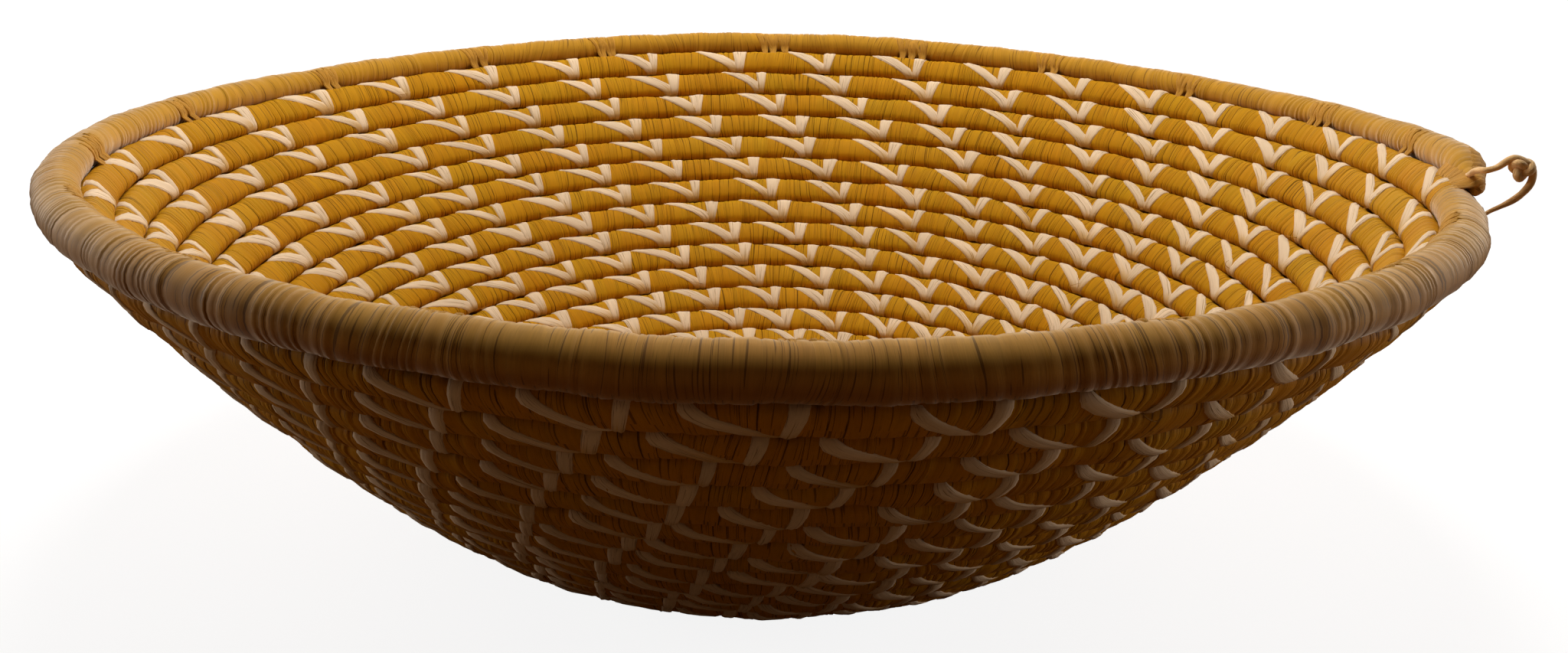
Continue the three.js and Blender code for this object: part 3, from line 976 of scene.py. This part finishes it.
def tie_cord():
    spots = np.array([np.r_[cord_spot(*at[:3]), at[3]] for at in CORD_ROUTE])
    line = flowing(spots, CORD_STEP)
    cord = twisted_tube("hanging_cord", line[:, :3], line[:, 3], CORD_LAY)
    knot_line = overhand_line()
    knot = twisted_tube("cord_knot", knot_line, np.full(len(knot_line), KNOT_CORD), KNOT_LAY, 14)
    finished(knot, cord_finish, "hanging_loop", "raffia_cord", "loop_knot")
    finished(cord, cord_finish, None, "raffia_cord", "loop_strand_upper", "loop_strand_lower")
    tuple(cord_spot(CORD_AZIMUTH, *BEND_START) * MM)
    tuple(cord_spot(CORD_AZIMUTH, *BEND_END) * MM)
    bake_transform(cord)


wind_coil()
sew_coil()
tie_cord()

# The camera, at the photograph's place, and the light


def aim(position, yaw, pitch, roll):
    """A camera's place in the world from where it stands and how it is turned, in radians."""
    ahead = Vector((math.sin(yaw) * math.cos(pitch), math.cos(yaw) * math.cos(pitch), -math.sin(pitch)))
    level = Vector((math.cos(yaw), -math.sin(yaw), 0))
    top = level.cross(ahead)
    right = level * math.cos(roll) + top * math.sin(roll)
    above = top * math.cos(roll) - level * math.sin(roll)
    turned = Matrix((right, above, -ahead)).transposed()
    return Matrix.Translation(position) @ turned.to_4x4()


CAMERA_PLACE = (0.0, -0.30683, 0.14319)
CAMERA_YAW, CAMERA_PITCH, CAMERA_ROLL = 0.0142, 0.3243, 0.0205
LENS = 31.0

camera = bpy.data.objects.new("camera", bpy.data.cameras.new("camera"))
camera.data.sensor_fit = "HORIZONTAL"
camera.data.sensor_width = 36.0
camera.data.lens = LENS
camera.data.clip_start = 0.01
camera.matrix_world = aim(CAMERA_PLACE, CAMERA_YAW, CAMERA_PITCH, CAMERA_ROLL)
bpy.context.scene.collection.objects.link(camera)
bpy.context.scene.camera = camera


def soft_box(name, position, aimed_at, size, watts, colour):
    lamp = bpy.data.lights.new(name, "AREA")
    lamp.shape, lamp.energy, lamp.color = "RECTANGLE", watts, colour
    lamp.size, lamp.size_y = size
    box = bpy.data.objects.new(name, lamp)
    box.location = position
    box.rotation_euler = (Vector(aimed_at) - Vector(position)).to_track_quat("-Z", "Y").to_euler()
    box.visible_camera = False
    bpy.context.scene.collection.objects.link(box)


WARM_WHITE = (1.0, 0.98, 0.95)

soft_box("overhead", (0.0, 0.10, 0.39), (0, 0.06, 0.04), (0.30, 0.22), 1.52, (1.0, 0.985, 0.95))
soft_box("backdrop_glow", (0.0, 1.6, 0.55), (0, 0, 0.05), (2.8, 1.1), 17.5, WARM_WHITE)
soft_box("left_glow", (-1.2, 0.35, 0.16), (0, 0, 0.08), (0.6, 0.3), 4.6, WARM_WHITE)
soft_box("right_glow", (1.2, 0.20, 0.14), (0, 0, 0.08), (0.6, 0.3), 5.4, WARM_WHITE)

FLOOR_BOUNCE, FLOOR_PALE, FLOOR_GLOW = (0.40, 0.245, 0.135, 1), (0.35, 0.35, 0.35, 1), 0.88
ROOM_LIGHT, ROOM_STRENGTH = (1.0, 0.70, 0.45, 1), 0.033
WHITE = (1, 1, 1, 1)


def bright_floor():
    """Pale to the camera, with the basket's shadow on it, and duller to the light that it sends back up."""
    finish = Finish("floor")
    seen = finish.node("ShaderNodeLightPath", {}, {}, out="Is Camera Ray")
    dull = finish.node("ShaderNodeBsdfDiffuse", {}, {"Color": FLOOR_BOUNCE})
    pale = finish.node("ShaderNodeBsdfDiffuse", {}, {"Color": FLOOR_PALE})
    glow = finish.node("ShaderNodeEmission", {}, {"Color": WHITE, "Strength": FLOOR_GLOW})
    lit = finish.node("ShaderNodeAddShader", {}, {0: pale, 1: glow})
    mixed = finish.node("ShaderNodeMixShader", {}, {0: seen, 1: dull, 2: lit})
    output = finish.tree.nodes["Material Output"]
    finish.tree.nodes.remove(finish.tree.nodes["Principled BSDF"])
    finish.feed(output.inputs["Surface"], mixed)
    return finish.material


bpy.ops.mesh.primitive_plane_add(size=16)
floor = bpy.context.object
floor.name = "floor"
floor.data.materials.append(bright_floor())

world = bpy.data.worlds.new("room")
bpy.context.scene.world = world
world.use_nodes = True
room = Finish("room", world.node_tree)
behind = room.node("ShaderNodeBackground", {}, {"Color": WHITE, "Strength": 1.0})
around_light = room.node("ShaderNodeBackground", {}, {"Color": ROOM_LIGHT, "Strength": ROOM_STRENGTH})
in_view = room.node("ShaderNodeLightPath", {}, {}, out="Is Camera Ray")
shown = room.node("ShaderNodeMixShader", {}, {0: in_view, 1: around_light, 2: behind})
room.feed(world.node_tree.nodes["World Output"].inputs["Surface"], shown)
bpy.context.scene.view_settings.view_transform = "Standard"
